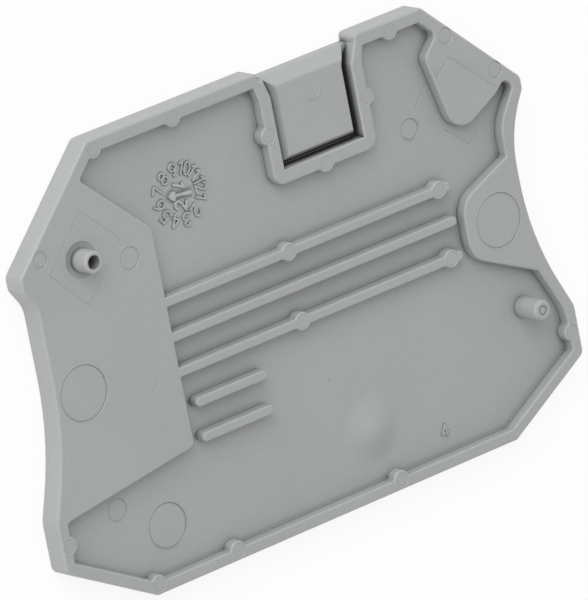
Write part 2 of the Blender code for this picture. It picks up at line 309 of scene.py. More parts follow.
# Lines and distances
def rounded(corners, arc_step=ARC_STEP):
    """Closed line through the corners (x, y, radius), each rounded by an arc."""
    line = []
    for index, (x, y, radius) in enumerate(corners):
        corner = Vector((x, y))
        back = (Vector(corners[index - 1][:2]) - corner).normalized()
        ahead = (Vector(corners[(index + 1) % len(corners)][:2]) - corner).normalized()
        half = back.angle(ahead) / 2
        turn = math.pi - 2 * half
        side = 1 if back.cross(ahead) < 0 else -1
        centre = corner + (back + ahead).normalized() * radius / math.sin(half)
        start = corner + back * radius / math.tan(half) - centre
        steps = max(1, math.ceil(turn / arc_step)) if radius > 0 else 0
        for step in range(steps + 1):
            angle = side * turn * step / steps if steps else 0
            spot = centre + Matrix.Rotation(angle, 2) @ start
            line.append((spot.x, spot.y))
    return np.array(line)


def inset(line, distance):
    """The closed line moved inwards, or outwards by a negative distance."""
    back = line - np.roll(line, 1, axis=0)
    back /= np.linalg.norm(back, axis=1)[:, None]
    ahead = np.roll(back, -1, axis=0)
    normal = np.stack([-back[:, 1] - ahead[:, 1], back[:, 0] + ahead[:, 0]], axis=1)
    normal /= np.linalg.norm(normal, axis=1)[:, None]
    slant = normal[:, 0] * -back[:, 1] + normal[:, 1] * back[:, 0]
    return line + normal * (distance / slant)[:, None]


def line_distance(line, x, y, closed=True):
    """Distance to the line, and for a closed one whether the point is inside it."""
    nearest = np.full(np.shape(x), ENDLESS)
    inside = np.zeros(np.shape(x), bool)
    ends = np.roll(line, -1, axis=0) if closed else line[1:]
    for (ax, ay), (bx, by) in zip(line, ends):
        dx, dy = bx - ax, by - ay
        along = np.clip(((x - ax) * dx + (y - ay) * dy) / (dx * dx + dy * dy), 0, 1)
        nearest = np.minimum(nearest, (x - ax - along * dx) ** 2 + (y - ay - along * dy) ** 2)
        if closed and dy:
            inside ^= ((ay > y) != (by > y)) & (x < ax + (y - ay) * dx / dy)
    return np.sqrt(nearest), inside


def depth_inside(line, x, y):
    nearest, inside = line_distance(line, x, y)
    return np.where(inside, nearest, -nearest)


def distance_from(centre, x, y):
    return np.hypot(x - centre[0], y - centre[1])


def soft_least(a, b, blend=CORNER_FILLET):
    """The lesser of the two, with a small fillet where they meet."""
    near = np.maximum(blend - np.abs(a - b), 0) / blend
    return np.minimum(a, b) - near * near * blend / 4


# Outlines
half_length = LENGTH / 2
shoulder = HEIGHT - (SHOULDER_X - TOP_CORNER_X)
notch_left = NOTCH_X - NOTCH_WIDTH / 2
notch_right = NOTCH_X + NOTCH_WIDTH / 2
plate_line = rounded([
    (-FOOT_X, 0, FOOT_RADIUS),
    (FOOT_X, 0, FOOT_RADIUS),
    (half_length, CHEEK_FOOT, CHEEK_RADIUS),
    (half_length, CHEEK_TOP, RIGHT_CHEEK_TOP_RADIUS),
    (RIGHT_WAIST_X, RIGHT_WAIST_FOOT, RIGHT_WAIST_FOOT_RADIUS),
    (RIGHT_WAIST_X, RIGHT_WAIST_TOP, RIGHT_WAIST_TOP_RADIUS),
    (SHOULDER_X, RIGHT_SHOULDER_FOOT, RIGHT_SHOULDER_FOOT_RADIUS),
    (SHOULDER_X, shoulder, SHOULDER_RADIUS),
    (TOP_CORNER_X, HEIGHT, TOP_CORNER_RADIUS),
    (notch_right, HEIGHT, NOTCH_RADIUS),
    (notch_right, NOTCH_FLOOR, 0),
    (notch_left, NOTCH_FLOOR, 0),
    (notch_left, HEIGHT, NOTCH_RADIUS),
    (-TOP_CORNER_X, HEIGHT, TOP_CORNER_RADIUS),
    (-SHOULDER_X, shoulder, SHOULDER_RADIUS),
    (-SHOULDER_X, LEFT_SHOULDER_FOOT, LEFT_SHOULDER_FOOT_RADIUS),
    (LEFT_WAIST_X, LEFT_WAIST_TOP, LEFT_WAIST_TOP_RADIUS),
    (LEFT_WAIST_X, LEFT_WAIST_FOOT, LEFT_WAIST_FOOT_RADIUS),
    (-half_length, CHEEK_TOP, LEFT_CHEEK_TOP_RADIUS),
    (-half_length, CHEEK_FOOT, CHEEK_RADIUS),
], PLATE_ARC_STEP)

foot_angle = math.atan2(CHEEK_FOOT, half_length - FOOT_X)
rim_foot_x = FOOT_X - RIM * math.tan(foot_angle / 2)
cheek_x = half_length - RIM
cheek_foot = CHEEK_FOOT + RIM * math.tan((math.pi / 2 - foot_angle) / 2)
top = HEIGHT - TOP_RIM
slant = TOP_CORNER_X + HEIGHT - SLANT_RIM * math.sqrt(2)
plateau_sum = PLATEAU_X + PLATEAU_SHOULDER
tray_line = rounded([
    (-cheek_x, cheek_foot, RIM_CORNER_RADIUS),
    (-rim_foot_x, RIM, RIM_CORNER_RADIUS),
    (rim_foot_x, RIM, RIM_CORNER_RADIUS),
    (cheek_x, cheek_foot, RIM_CORNER_RADIUS),
    (cheek_x, CHEEK_TOP - RIM_BEND_DROP, RIM_BEND_RADIUS),
    (*BAY_FOOT_RIM, BAY_FOOT_RIM_RADIUS),
    (BAY_X, BAY_FOOT, BAY_RADIUS),
    (BAY_X, BAY_TOP, BAY_RADIUS),
    (*BAY_TOP_RIM, BAY_TOP_RIM_RADIUS),
    (BAY_TOP_RIM[0], SLOT_BEND, RIM_BEND_RADIUS),
    (*SLOT_OUTER_CORNER, SLOT_RADIUS),
    (*SLOT_INNER_CORNER, SLOT_RADIUS),
    (*ISLAND_TIP, ISLAND_TIP_RADIUS),
    (*ISLAND_FOOT, ISLAND_FOOT_RADIUS),
    (ISLAND_X, ISLAND_TOP - (slant - ISLAND_TOP - ISLAND_X), ISLAND_TOP_RADIUS),
    (slant - ISLAND_TOP, ISLAND_TOP, ISLAND_SLANT_RADIUS),
    (slant - top, top, TOP_RIM_CORNER_RADIUS),
    (top - slant, top, TOP_RIM_CORNER_RADIUS),
    ((plateau_sum - slant) / 2, (plateau_sum + slant) / 2, TOP_RIM_CORNER_RADIUS),
    (PLATEAU_X, PLATEAU_SHOULDER, PLATEAU_RADIUS),
    (PLATEAU_X, PLATEAU_FOOT, PLATEAU_RADIUS),
    (-cheek_x, PLATEAU_FOOT - PLATEAU_FOOT_FALL, PLATEAU_END_RADIUS),
])


def pocket_outline(grow, upper_end, radius, right_flare):
    """The pocket grown by that much, with parallel sides that flare towards the notch."""
    half = POCKET_WIDTH / 2 + grow
    return rounded([
        (POCKET_X - half, POCKET_FOOT - grow, radius),
        (POCKET_X + half, POCKET_FOOT - grow, radius),
        (POCKET_X + half, FLARE_FOOT, 0),
        (POCKET_X + half + right_flare, NOTCH_FLOOR, 0),
        (POCKET_X + half + right_flare, upper_end, 0),
        (POCKET_X - half - FLARE, upper_end, 0),
        (POCKET_X - half - FLARE, NOTCH_FLOOR, 0),
        (POCKET_X - half, FLARE_FOOT, 0),
    ])


frame_line = pocket_outline(FRAME_WALL, HEIGHT, FRAME_RADIUS, FLARE)
pocket_line = pocket_outline(0, HEIGHT + PAST_EDGE, 0, notch_right - POCKET_X - POCKET_WIDTH / 2)
pad_height = PAD_TOP - GROOVE_FLOOR
pad_line = inset(pocket_outline(0, NOTCH_FLOOR + PAD_PAST_NOTCH, 0, FLARE), PAD_GAP)
groove_depth = FLOOR - GROOVE_FLOOR
front_foot = NOTCH_FLOOR + FLOOR - GROOVE_FLOOR


def pad_depth(x, y):
    """Height over the groove's floor, with steep sides, an even front and a rise that ends the groove."""
    slopes = np.minimum(depth_inside(pad_line, x, y) * PAD_STEEPNESS, front_foot - y)
    return np.maximum(slopes, np.clip(y - GROOVE_END, 0, groove_depth))


def pad_corner(low, high, level):
    """Where the pad's front meets its side between those two corners of its outline, at that height."""
    line = inset(pad_line, level / PAD_STEEPNESS)
    y = front_foot - level
    share = (y - line[low, 1]) / (line[high, 1] - line[low, 1])
    return line[low, 0] + share * (line[high, 0] - line[low, 0]), y


# Height of each feature by the distance from its edge
def arc(centre_x, centre_z, radius, start, end, steps=24):
    turns = np.radians(np.linspace(start, end, steps + 1))
    return [(centre_x + radius * math.cos(a), centre_z + radius * math.sin(a)) for a in turns]


def profile(points):
    """Distances and heights of a section through an edge, each distance a little past the last."""
    points = np.array(points, float)
    for index in range(1, len(points)):
        points[index, 0] = max(points[index, 0], points[index - 1, 0] + TINY)
    return points


def small_fillet(start, floor, radius, end=270):
    """The fillet at a wall's foot."""
    return arc(start + radius, floor + radius, radius, 180, end, SMALL_ARC_STEPS)


def small_tip(edge, radius):
    """The rounding at a peg's tip."""
    return arc(edge, PEG_TIP - radius, radius, 90, 30, SMALL_ARC_STEPS)


upper_edge = [(-FAR, THICKNESS)] + arc(-INNER_EDGE, THICKNESS - INNER_EDGE, INNER_EDGE, 90, 0)
tray_fillet = arc(WALL_DRAFT + FLOOR_FILLET, FLOOR + FLOOR_FILLET, FLOOR_FILLET, 180, 270)
pocket_fillet = small_fillet(WALL_DRAFT, GROOVE_FLOOR, POCKET_FILLET)
pad_edge = [
    (pad_height + s, PAD_TOP + s - (s + PAD_BEND) ** 2 / (4 * PAD_BEND))
    for s in np.linspace(-PAD_BEND, PAD_BEND, 9)
]
outer_edge = arc(OUTER_EDGE, THICKNESS - OUTER_EDGE, OUTER_EDGE, 180, 90)
edge_profile = profile(outer_edge + [(FAR, THICKNESS)])
tray_profile = profile(upper_edge + tray_fillet + [(FAR, FLOOR)])
pocket_profile = profile(upper_edge + pocket_fillet + [(FAR, GROOVE_FLOOR)])
pad_profile = profile([(-FAR, GROOVE_FLOOR), (0, GROOVE_FLOOR)] + pad_edge + [(FAR, PAD_TOP)])
snap_peg_profile = profile(
    SNAP_PEG_BORE
    + small_tip(SNAP_PEG_TIP_EDGE, SNAP_PEG_TIP_ROUND)
    + SNAP_PEG_SIDE
    + small_fillet(SNAP_PEG_RADIUS, SNAP_PEG_FOOT, SNAP_PEG_FOOT_ROUND, 280)
    + SNAP_PEG_WELL
)
locating_peg_profile = profile(
    LOCATING_PEG_DIMPLE
    + small_tip(LOCATING_PEG_TIP_EDGE, LOCATING_PEG_TIP_ROUND)
    + LOCATING_PEG_SIDE
    + small_fillet(LOCATING_PEG_RADIUS, FLOOR, LOCATING_PEG_FOOT_ROUND)
)
PEGS = {"snap_peg": (SNAP_PEG, snap_peg_profile), "locating_peg": (LOCATING_PEG, locating_peg_profile)}


# Digits, 1 high and 0.6 wide
def oval(across, up, points):
    """Closed stroke that stands on the line, round the middle of a digit."""
    turns = np.linspace(0, 2 * math.pi, points)
    return [(DIGIT_WIDTH / 2 + across * math.sin(a), up - up * math.cos(a)) for a in turns]


lower_loop = oval(0.3, 0.3, 17)
upper_loop = [(0.3 + (x - 0.3) * 0.85, 0.79 + (y - 0.3) * 0.72) for x, y in lower_loop]
DIGITS = {
    "0": [oval(0.27, 0.5, 21)],
    "1": [[(0.1, 0.76), (0.34, 1.0), (0.34, 0.0)]],
    "2": [[(0.02, 0.76), (0.09, 0.93), (0.3, 1.0), (0.52, 0.92), (0.58, 0.72), (0.46, 0.5),
           (0, 0), (0.6, 0)]],
    "3": [[(0.03, 0.86), (0.16, 0.98), (0.36, 1.0), (0.53, 0.9), (0.55, 0.7), (0.42, 0.56),
           (0.24, 0.53)],
          [(0.42, 0.52), (0.58, 0.38), (0.58, 0.14), (0.42, 0.01), (0.18, 0.0), (0.0, 0.13)]],
    "4": [[(0.45, 0.0), (0.45, 1.0), (0.0, 0.3), (0.62, 0.3)]],
    "5": [[(0.56, 1.0), (0.12, 1.0), (0.06, 0.55), (0.3, 0.63), (0.52, 0.54), (0.6, 0.33), (0.52, 0.1),
           (0.3, 0.0), (0.1, 0.03), (0.0, 0.14)]],
    "6": [lower_loop, [(0.0, 0.3), (0.06, 0.62), (0.32, 1.0)]],
    "7": [[(0.0, 1.0), (0.6, 1.0), (0.22, 0.0)]],
    "8": [lower_loop, upper_loop],
    "9": [[(0.6 - x, 1 - y) for x, y in lower_loop], [(0.6, 0.7), (0.54, 0.38), (0.28, 0.0)]],
}


def written(text, centre, height, turn):
    """Strokes of the text round its centre, turned anticlockwise by that many degrees."""
    strokes = []
    angle = math.radians(turn)
    spin = np.array([[math.cos(angle), math.sin(angle)], [-math.sin(angle), math.cos(angle)]])
    for place, character in enumerate(text):
        across = (place - (len(text) - 1) / 2) * DIGIT_PITCH - DIGIT_WIDTH / 2
        for stroke in DIGITS[character]:
            spots = np.array(stroke) + (across, -0.5)
            strokes.append(spots * height @ spin + centre)
    return strokes


month_strokes = []
for month in range(1, 13):
    direction = NINTH_MONTH_AT - MONTH_STEP * (month - 9)
    spot = (
        DIAL[0] + DIAL_RADIUS * math.cos(math.radians(direction)),
        DIAL[1] + DIAL_RADIUS * math.sin(math.radians(direction)),
    )
    month_strokes += written(str(month), spot, MONTH_SIZE, direction - 90)
year_strokes = []
for digit, (right, above), turn in YEAR_DIGITS:
    year_strokes += written(digit, (DIAL[0] + right, DIAL[1] + above), YEAR_SIZE, turn)
numeral_strokes = written("4", NUMERAL, NUMERAL_SIZE, NUMERAL_TURN)
arrow_line = np.array([
    (
        DIAL[0] + math.cos(ARROW_TURN) * a - math.sin(ARROW_TURN) * b,
        DIAL[1] + math.sin(ARROW_TURN) * a + math.cos(ARROW_TURN) * b,
    )
    for a, b in [(a, -b) for a, b in ARROW_HALF] + ARROW_HALF[:0:-1]
])
pad_arc = [
    (PAD_ARC_CENTRE[0] + PAD_ARC_RADIUS * math.sin(a), PAD_ARC_CENTRE[1] - PAD_ARC_RADIUS * math.cos(a))
    for a in PAD_ARC_ANGLES
]


# Marks left by the mould: how deep a point lies inside each, and the height that it adds
def stroke_depth(strokes, half_width, x, y):
    nearest = np.full(np.shape(x), ENDLESS)
    for stroke in strokes:
        nearest = np.minimum(nearest, line_distance(np.array(stroke), x, y, closed=False)[0])
    return half_width - nearest


month_depth = partial(stroke_depth, month_strokes, STROKE)
year_depth = partial(stroke_depth, year_strokes, YEAR_STROKE)
arrow_depth = partial(depth_inside, arrow_line)
numeral_depth = partial(stroke_depth, numeral_strokes, STROKE)
pad_arc_depth = partial(stroke_depth, [pad_arc], PAD_ARC_HALF_WIDTH)


def joint_depth(line, x, y):
    return stroke_depth([line], JOINT_HALF_WIDTH, x, y)


def ramp(value):
    value = np.clip(value, 0, 1)
    return value * value * (3 - 2 * value)


def highest(*heights):
    """The highest relief where any stands up, else the deepest groove."""
    most = np.maximum.reduce(heights)
    return np.where(most > 0, most, np.minimum.reduce(heights))


def dial_height(x, y):
    return highest(
        np.interp(month_depth(x, y), DIGIT_OFFSETS, DIGIT_HEIGHTS),
        np.interp(year_depth(x, y), DIGIT_OFFSETS, DIGIT_HEIGHTS),
        np.interp(arrow_depth(x, y), ARROW_OFFSETS, ARROW_HEIGHTS),
    )


def numeral_height(x, y):
    return np.interp(numeral_depth(x, y), DIGIT_OFFSETS, DIGIT_HEIGHTS)


def joint_height(line, x, y):
    return -JOINT_DEPTH * np.clip(joint_depth(line, x, y) / JOINT_SLOPE, 0, 1)


def ring_height(centre, radius, share, x, y):
    return share * np.interp(distance_from(centre, x, y) - radius, RING_OFFSETS, RING_HEIGHTS)


def dome_height(x, y):
    return DOME_HEIGHT * ramp(1 - distance_from(DOME, x, y) / DOME_RADIUS)


def pad_arc_height(x, y):
    return PAD_ARC_HEIGHT * np.clip(pad_arc_depth(x, y) / PAD_ARC_SLOPE, 0, 1)


def pip_height(x, y):
    return -PIP_DEPTH * ramp((PIP_RADIUS - distance_from(PIP, x, y)) / PIP_SLOPE)


# Marks as centre, reach and height
RAISED_MARKS = [(DIAL, DIAL_REACH, dial_height), (NUMERAL, NUMERAL_REACH, numeral_height)]
FAINT_MARKS = [
    (np.mean(line, axis=0), JOINT_REACH, partial(joint_height, line))
    for line in JOINT_LINES
]
FAINT_MARKS += [
    (centre, radius + RING_MARGIN, partial(ring_height, centre, radius, share))
    for centre, radius, share in RINGS
]
FAINT_MARKS += [
    (DOME, DOME_RADIUS, dome_height),
    (PAD_ARC_MIDDLE, PAD_ARC_REACH, pad_arc_height),
    (PIP, PIP_REACH, pip_height),
]


def marks(x, y, kinds=RAISED_MARKS + FAINT_MARKS):
    """Height that the marks add at each point."""
    added = np.zeros(np.shape(x))
    for centre, reach, height in kinds:
        where = (np.abs(x - centre[0]) < reach) & (np.abs(y - centre[1]) < reach)
        if where.any():
            added[where] += height(x[where], y[where])
    return added


# Fields: how deep a point lies inside each feature
def hollow_depth(x, y):
    """Positive over the sunken floor, negative over the rim, the ribs, the frame and the bosses."""
    depth = depth_inside(tray_line, x, y)
    for start, end, middle in RIBS:
        spine = np.array([(start + RIB_WIDTH / 2, middle), (end - RIB_WIDTH / 2, middle)])
        depth = soft_least(depth, line_distance(spine, x, y, closed=False)[0] - RIB_WIDTH / 2)
    depth = soft_least(depth, -depth_inside(frame_line, x, y))
    for centre in BOSSES:
        depth = soft_least(depth, distance_from(centre, x, y) - BOSS_RADIUS)
    return depth


FIELDS = {
    "edge": (partial(depth_inside, plate_line), edge_profile),
    "tray": (hollow_depth, tray_profile),
    "pocket": (partial(depth_inside, pocket_line), pocket_profile),
    "pad": (pad_depth, pad_profile),
}
for peg, (spot, section) in PEGS.items():
    FIELDS[peg] = (partial(distance_from, spot), section)
NAMES = list(FIELDS)


def section_height(section, distance):
    return np.interp(distance, section[:, 0], section[:, 1])


def section_slope(section, distance):
    step = np.clip(np.searchsorted(section[:, 0], distance) - 1, 0, len(section) - 2)
    rise = section[step + 1] - section[step]
    outside = (distance < section[0, 0]) | (distance > section[-1, 0])
    return np.where(outside, 0, rise[:, 1] / rise[:, 0])


def surface(x, y):
    """Height of the inner side at each point, and which feature gives it."""
    height = np.full(x.shape, ENDLESS)
    owner = np.zeros(x.shape, int)
    for number, name in enumerate(NAMES):
        field, section = FIELDS[name]
        distance = field(x, y)
        level = section_height(section, distance)
        if name in PEGS:
            takes = distance < section[-1, 0]
        elif name == "pad":
            takes = (level > height) & (distance > 0)
        else:
            takes = level < height
        height[takes] = level[takes]
        owner[takes] = number
    return height, owner


# Lines of equal depth, followed through a grid
CELL_PATHS = {
    1: [(3, 0)], 2: [(0, 1)], 3: [(3, 1)], 4: [(1, 2)], 5: [(3, 2), (0, 1)],
    6: [(0, 2)], 7: [(3, 2)], 8: [(2, 3)], 9: [(0, 2)], 10: [(3, 0), (1, 2)],
    11: [(1, 2)], 12: [(3, 1)], 13: [(0, 1)], 14: [(3, 0)],
}


def simplified(line, tolerance):
    """The line with only the points it needs to stay within the tolerance."""
    keep = np.zeros(len(line), bool)
    keep[[0, -1]] = True
    spans = [(0, len(line) - 1)]
    if np.allclose(line[0], line[-1]):
        far = int(np.argmax(np.linalg.norm(line - line[0], axis=1)))
        keep[far] = True
        spans = [(0, far), (far, len(line) - 1)]
    while spans:
        first, last = spans.pop()
        if last - first < 2:
            continue
        run = line[last] - line[first]
        length = np.linalg.norm(run)
        off = line[first + 1:last] - line[first]
        if length > 1e-9:
            away = np.abs(off[:, 0] * run[1] - off[:, 1] * run[0]) / length
        else:
            away = np.linalg.norm(off, axis=1)
        worst = int(np.argmax(away))
        if away[worst] > tolerance:
            middle = first + 1 + worst
            keep[middle] = True
            spans += [(first, middle), (middle, last)]
    return line[keep]


def contours(depth, xs, ys, level, tolerance):
    """Lines along which the depth has that level; a closed one ends where it starts."""
    high = depth > level
    cases = high[:-1, :-1] + 2 * high[:-1, 1:] + 4 * high[1:, 1:] + 8 * high[1:, :-1]
    rows, columns = np.nonzero((cases > 0) & (cases < 15))
    width = len(xs)
    upright = len(xs) * len(ys)
    joined = {}
    for row, column, case in zip(rows.tolist(), columns.tolist(), cases[rows, columns].tolist()):
        low = row * width + column
        sides = (low, upright + low + 1, low + width, upright + low)
        for one, other in CELL_PATHS[case]:
            joined.setdefault(sides[one], []).append(sides[other])
            joined.setdefault(sides[other], []).append(sides[one])

    def spot(side):
        row, column = divmod(side % upright, width)
        across = side < upright
        a = depth[row, column]
        b = depth[row, column + 1] if across else depth[row + 1, column]
        share = (level - a) / (b - a)
        if across:
            return xs[column] + share * (xs[1] - xs[0]), ys[row]
        return xs[column], ys[row] + share * (ys[1] - ys[0])

    lines = []
    left = set(joined)
    starts = [side for side, others in joined.items() if len(others) == 1] + list(joined)
    for start in starts:
        if start not in left:
            continue
        chain = [start]
        left.discard(start)
        while True:
            onward = [side for side in joined[chain[-1]] if side in left]
            if not onward:
                break
            chain.append(onward[0])
            left.discard(onward[0])
        if len(chain) > 2:
            if chain[0] in joined[chain[-1]]:
                chain.append(chain[0])
            lines.append(simplified(np.array([spot(side) for side in chain]), tolerance))
    return lines


class Net:
    """Points and edges that the surface has to keep, with heights where they are known."""

    def __init__(self):
        self.points = []
        self.heights = []
        self.edges = []

    def add(self, line, height=None, closed=False):
        line = np.asarray(line, float)
        if not closed and len(line) > 3 and np.allclose(line[0], line[-1]):
            line, closed = line[:-1], True
        first = len(self.points)
        self.points += [tuple(spot) for spot in line]
        self.heights += [np.nan if height is None else height] * len(line)
        self.edges += [(first + i, first + i + 1) for i in range(len(line) - 1)]
        if closed:
            self.edges.append((first + len(line) - 1, first))

    def add_contours(self, field, box, levels):
        """The lines within the box where the field has one of those levels."""
        xs, ys, across, up = grid_of(box, FINE_GRID)
        depth = field(across, up)
        for level in levels:
            for line in contours(depth, xs, ys, level, FINE_TOLERANCE):
                self.add(line)


def circle(centre, radius, sides=ROUND_SIDES):
    turns = np.arange(sides) * 2 * math.pi / sides
    return np.stack([centre[0] + radius * np.cos(turns), centre[1] + radius * np.sin(turns)], axis=1)


def grid_of(box, step):
    xs = np.arange(box[0], box[2] + step, step) + step * GRID_SHIFT[0]
    ys = np.arange(box[1], box[3] + step, step) + step * GRID_SHIFT[1]
    return xs, ys, *np.meshgrid(xs, ys)


def add_form(net):
    """Lines along the plate's edge, the hollow, the pocket, the pad and the pegs."""
    for distance in (0, *EDGE_LINES):
        net.add(inset(plate_line, distance) if distance else plate_line, closed=True)

    xs, ys, across, up = grid_of((-half_length, 0, half_length, HEIGHT), GRID)
    depth = hollow_depth(across, up)
    levels = [-INNER_EDGE * (1 - math.sin(math.radians(a))) for a in INNER_EDGE_ANGLES]
    levels += [0, WALL_DRAFT]
    levels += [WALL_DRAFT + FLOOR_FILLET * (1 - math.cos(math.radians(a))) for a in FLOOR_FILLET_ANGLES]
    for level in levels:
        height = float(section_height(tray_profile, level))
        for line in contours(depth, xs, ys, level, TOLERANCE):
            net.add(line, height)

    for distance in (*POCKET_EDGE_LINES, 0, WALL_DRAFT, WALL_DRAFT + POCKET_FILLET):
        net.add(inset(pocket_line, distance), closed=True)
    for centre, section in PEGS.values():
        for distance, height in section[1:]:
            net.add(circle(centre, distance), float(height), closed=True)


def add_marks(net):
    """Lines along the marks, and along the pad's slopes with the hips between them."""
    for centre, radius, _ in RINGS:
        sides = WIDE_SIDES if radius > WIDE_RADIUS else ROUND_SIDES
        for offset in RING_OFFSETS:
            net.add(circle(centre, radius + offset, sides), closed=True)
    for radius in DOME_CIRCLES:
        net.add(circle(DOME, radius), closed=True)
    for radius in PIP_CIRCLES:
        net.add(circle(PIP, radius, PIP_SIDES), closed=True)

    pad_bend_lines = [pad_height + share * PAD_BEND for share in PAD_BEND_SHARES]
    net.add_contours(pad_depth, PAD_BOX, [*PAD_LINES, *pad_bend_lines])
    for low, high in FLARE_CORNERS:
        net.add([pad_corner(low, high, level) for level in (groove_depth, pad_height + PAD_BEND)])
    net.add_contours(month_depth, DIAL_BOX, DIGIT_OFFSETS)
    net.add_contours(year_depth, DIAL_BOX, DIGIT_OFFSETS)
    net.add_contours(arrow_depth, DIAL_BOX, ARROW_OFFSETS)
    net.add_contours(numeral_depth, NUMERAL_BOX, DIGIT_OFFSETS)
    for line in JOINT_LINES:
        spots = np.array(line)
        low, high = spots.min(axis=0) - JOINT_MARGIN, spots.max(axis=0) + JOINT_MARGIN
        net.add_contours(partial(joint_depth, line), (*low, *high), (0, JOINT_SLOPE))
    net.add_contours(pad_arc_depth, PAD_ARC_BOX, (0, PAD_ARC_SLOPE))


# Mesh of the cover
def laid_out(net):
    """Points, the triangles inside the plate, and the net's points that each point comes from."""
    corners = [Vector(p) for p in net.points]
    spots, _, faces, sources, _, _ = delaunay_2d_cdt(corners, net.edges, [], 0, TINY)
    flat = np.array([(v.x, v.y) for v in spots])
    triangles = np.array([tuple(f) for f in faces if len(f) == 3])
    middles = flat[triangles].mean(axis=1)
    triangles = triangles[depth_inside(plate_line, middles[:, 0], middles[:, 1]) > 0]
    a, b, c = flat[triangles[:, 0]], flat[triangles[:, 1]], flat[triangles[:, 2]]
    area = (b[:, 0] - a[:, 0]) * (c[:, 1] - a[:, 1]) - (b[:, 1] - a[:, 1]) * (c[:, 0] - a[:, 0])
    return flat, np.where(area[:, None] < 0, triangles[:, ::-1], triangles), sources


def inner_side():
    """Points in the plane, their heights, and the triangles between them."""
    net = Net()
    add_form(net)
    add_marks(net)
    flat, triangles, sources = laid_out(net)
    heights, owner = surface(flat[:, 0], flat[:, 1])
    for index, origins in enumerate(sources):
        known = [net.heights[origin] for origin in origins if not math.isnan(net.heights[origin])]
        if known and (NAMES[owner[index]] == "tray" or NAMES[owner[index]] in PEGS):
            heights[index] = known[0]
    heights = heights + marks(flat[:, 0], flat[:, 1])

    used = np.unique(triangles)
    renumber = np.full(len(flat), -1)
    renumber[used] = np.arange(len(used))
    return flat[used], heights[used], renumber[triangles]


def inner_normals(flat, triangles):
    """The surface's own normal at each triangle's corners, taken a little way in from the corner."""
    middles = flat[triangles].mean(axis=1)
    _, owner = surface(middles[:, 0], middles[:, 1])
    inward = middles[:, None] - flat[triangles]
    reach = np.linalg.norm(inward, axis=2)[..., None]
    share_in = np.minimum(STEP_IN_SHARE, STEP_IN_MOST / np.maximum(reach, 1e-9))
    corner = flat[triangles] + inward * share_in
    normals = np.zeros(corner.shape[:2] + (3,))
    step = SLOPE_STEP
    for number, feature in enumerate(NAMES):
        field, section = FIELDS[feature]
        mine = owner == number
        x, y = corner[mine][..., 0].ravel(), corner[mine][..., 1].ravel()
        at_corner = field(*flat[triangles][mine].reshape(-1, 2).T)
        at_middle = np.repeat(field(*middles[mine].T), 3)
        slope = section_slope(section, at_corner * (1 - MIDDLE_SHARE) + at_middle * MIDDLE_SHARE)
        tilt_x = slope * (field(x + step, y) - field(x - step, y)) / (2 * step)
        tilt_y = slope * (field(x, y + step) - field(x, y - step)) / (2 * step)
        tilt_x = tilt_x + (marks(x + step, y) - marks(x - step, y)) / (2 * step)
        tilt_y = tilt_y + (marks(x, y + step) - marks(x, y - step)) / (2 * step)
        normals[mine] = np.stack([-tilt_x, -tilt_y, np.ones_like(x)], axis=1).reshape(-1, 3, 3)
    return normals / np.linalg.norm(normals, axis=2)[..., None]


def outer_loop(triangles):
    """The points round the outside of the triangles, in order."""
    pairs = np.concatenate([triangles[:, [0, 1]], triangles[:, [1, 2]], triangles[:, [2, 0]]])
    known = set(map(tuple, pairs.tolist()))
    onward = {i: j for i, j in known if (j, i) not in known}
    loop = [next(iter(onward))]
    while onward[loop[-1]] != loop[0]:
        loop.append(onward[loop[-1]])
    return loop


def shared(one, other):
    """The normal two faces share at a corner, or the first one's where it is sharp."""
    both = one + other
    both /= np.linalg.norm(both, axis=1)[:, None]
    close = (one * other).sum(axis=1) > SMOOTH_ABOVE
    return np.where(close[:, None], both, one)


def sides_and_back(outline, loop, count):
    """Faces down the sides, round the back's edge and over the back, and their normals."""
    ring = len(loop)
    ahead = np.roll(outline, -1, axis=0) - outline
    side_normal = np.column_stack([ahead[:, 1], -ahead[:, 0]])
    side_normal /= np.linalg.norm(side_normal, axis=1)[:, None]
    start_normal = shared(side_normal, np.roll(side_normal, 1, axis=0))
    end_normal = shared(side_normal, np.roll(side_normal, -1, axis=0))
    polygons, normals = [], []
    for i in range(ring):
        j = (i + 1) % ring
        polygons.append((loop[j], loop[i], count + i, count + j))
        first, second = (*start_normal[i], 0.0), (*end_normal[i], 0.0)
        normals += [second, first, first, second]
        polygons.append((count + j, count + i, count + ring + i, count + ring + j))
        low = [Vector((n[0], n[1], -1)).normalized() for n in (second, first, first, second)]
        normals += [tuple(n) for n in low]
    polygons.append(tuple(count + ring + i for i in reversed(range(ring))))
    normals += [(0.0, 0.0, -1.0)] * ring
    return polygons, normals


def build_mesh(name):
    flat, heights, triangles = inner_side()
    loop = outer_loop(triangles)
    outline = flat[loop]
    points = np.concatenate([
        np.column_stack([flat, heights]),
        np.column_stack([outline, np.full(len(loop), BACK_EDGE)]),
        np.column_stack([inset(outline, BACK_EDGE), np.zeros(len(loop))]),
    ])
    polygons = [tuple(t) for t in triangles.tolist()]
    normals = [tuple(n) for n in inner_normals(flat, triangles).reshape(-1, 3).tolist()]
    more_polygons, more_normals = sides_and_back(outline, loop, len(flat))

    points = (points - (0, HEIGHT / 2, 0)) * MM
    mesh = bpy.data.meshes.new(name)
    mesh.from_pydata(points.tolist(), [], polygons + more_polygons)
    mesh.polygons.foreach_set("use_smooth", [True] * len(mesh.polygons))
    mesh.normals_split_custom_set(normals + more_normals)
    mesh.update()
    # Height of the raised marks, from which the material paints light on their tops and shade round them
    relief = mesh.attributes.new("relief", "FLOAT", "POINT")
    raised = np.zeros(len(mesh.vertices))
    raised[:len(flat)] = marks(flat[:, 0], flat[:, 1], RAISED_MARKS)
    relief.data.foreach_set("value", raised)
    print(f"{name}: {len(flat)} points, {len(triangles)} triangles")
    return mesh


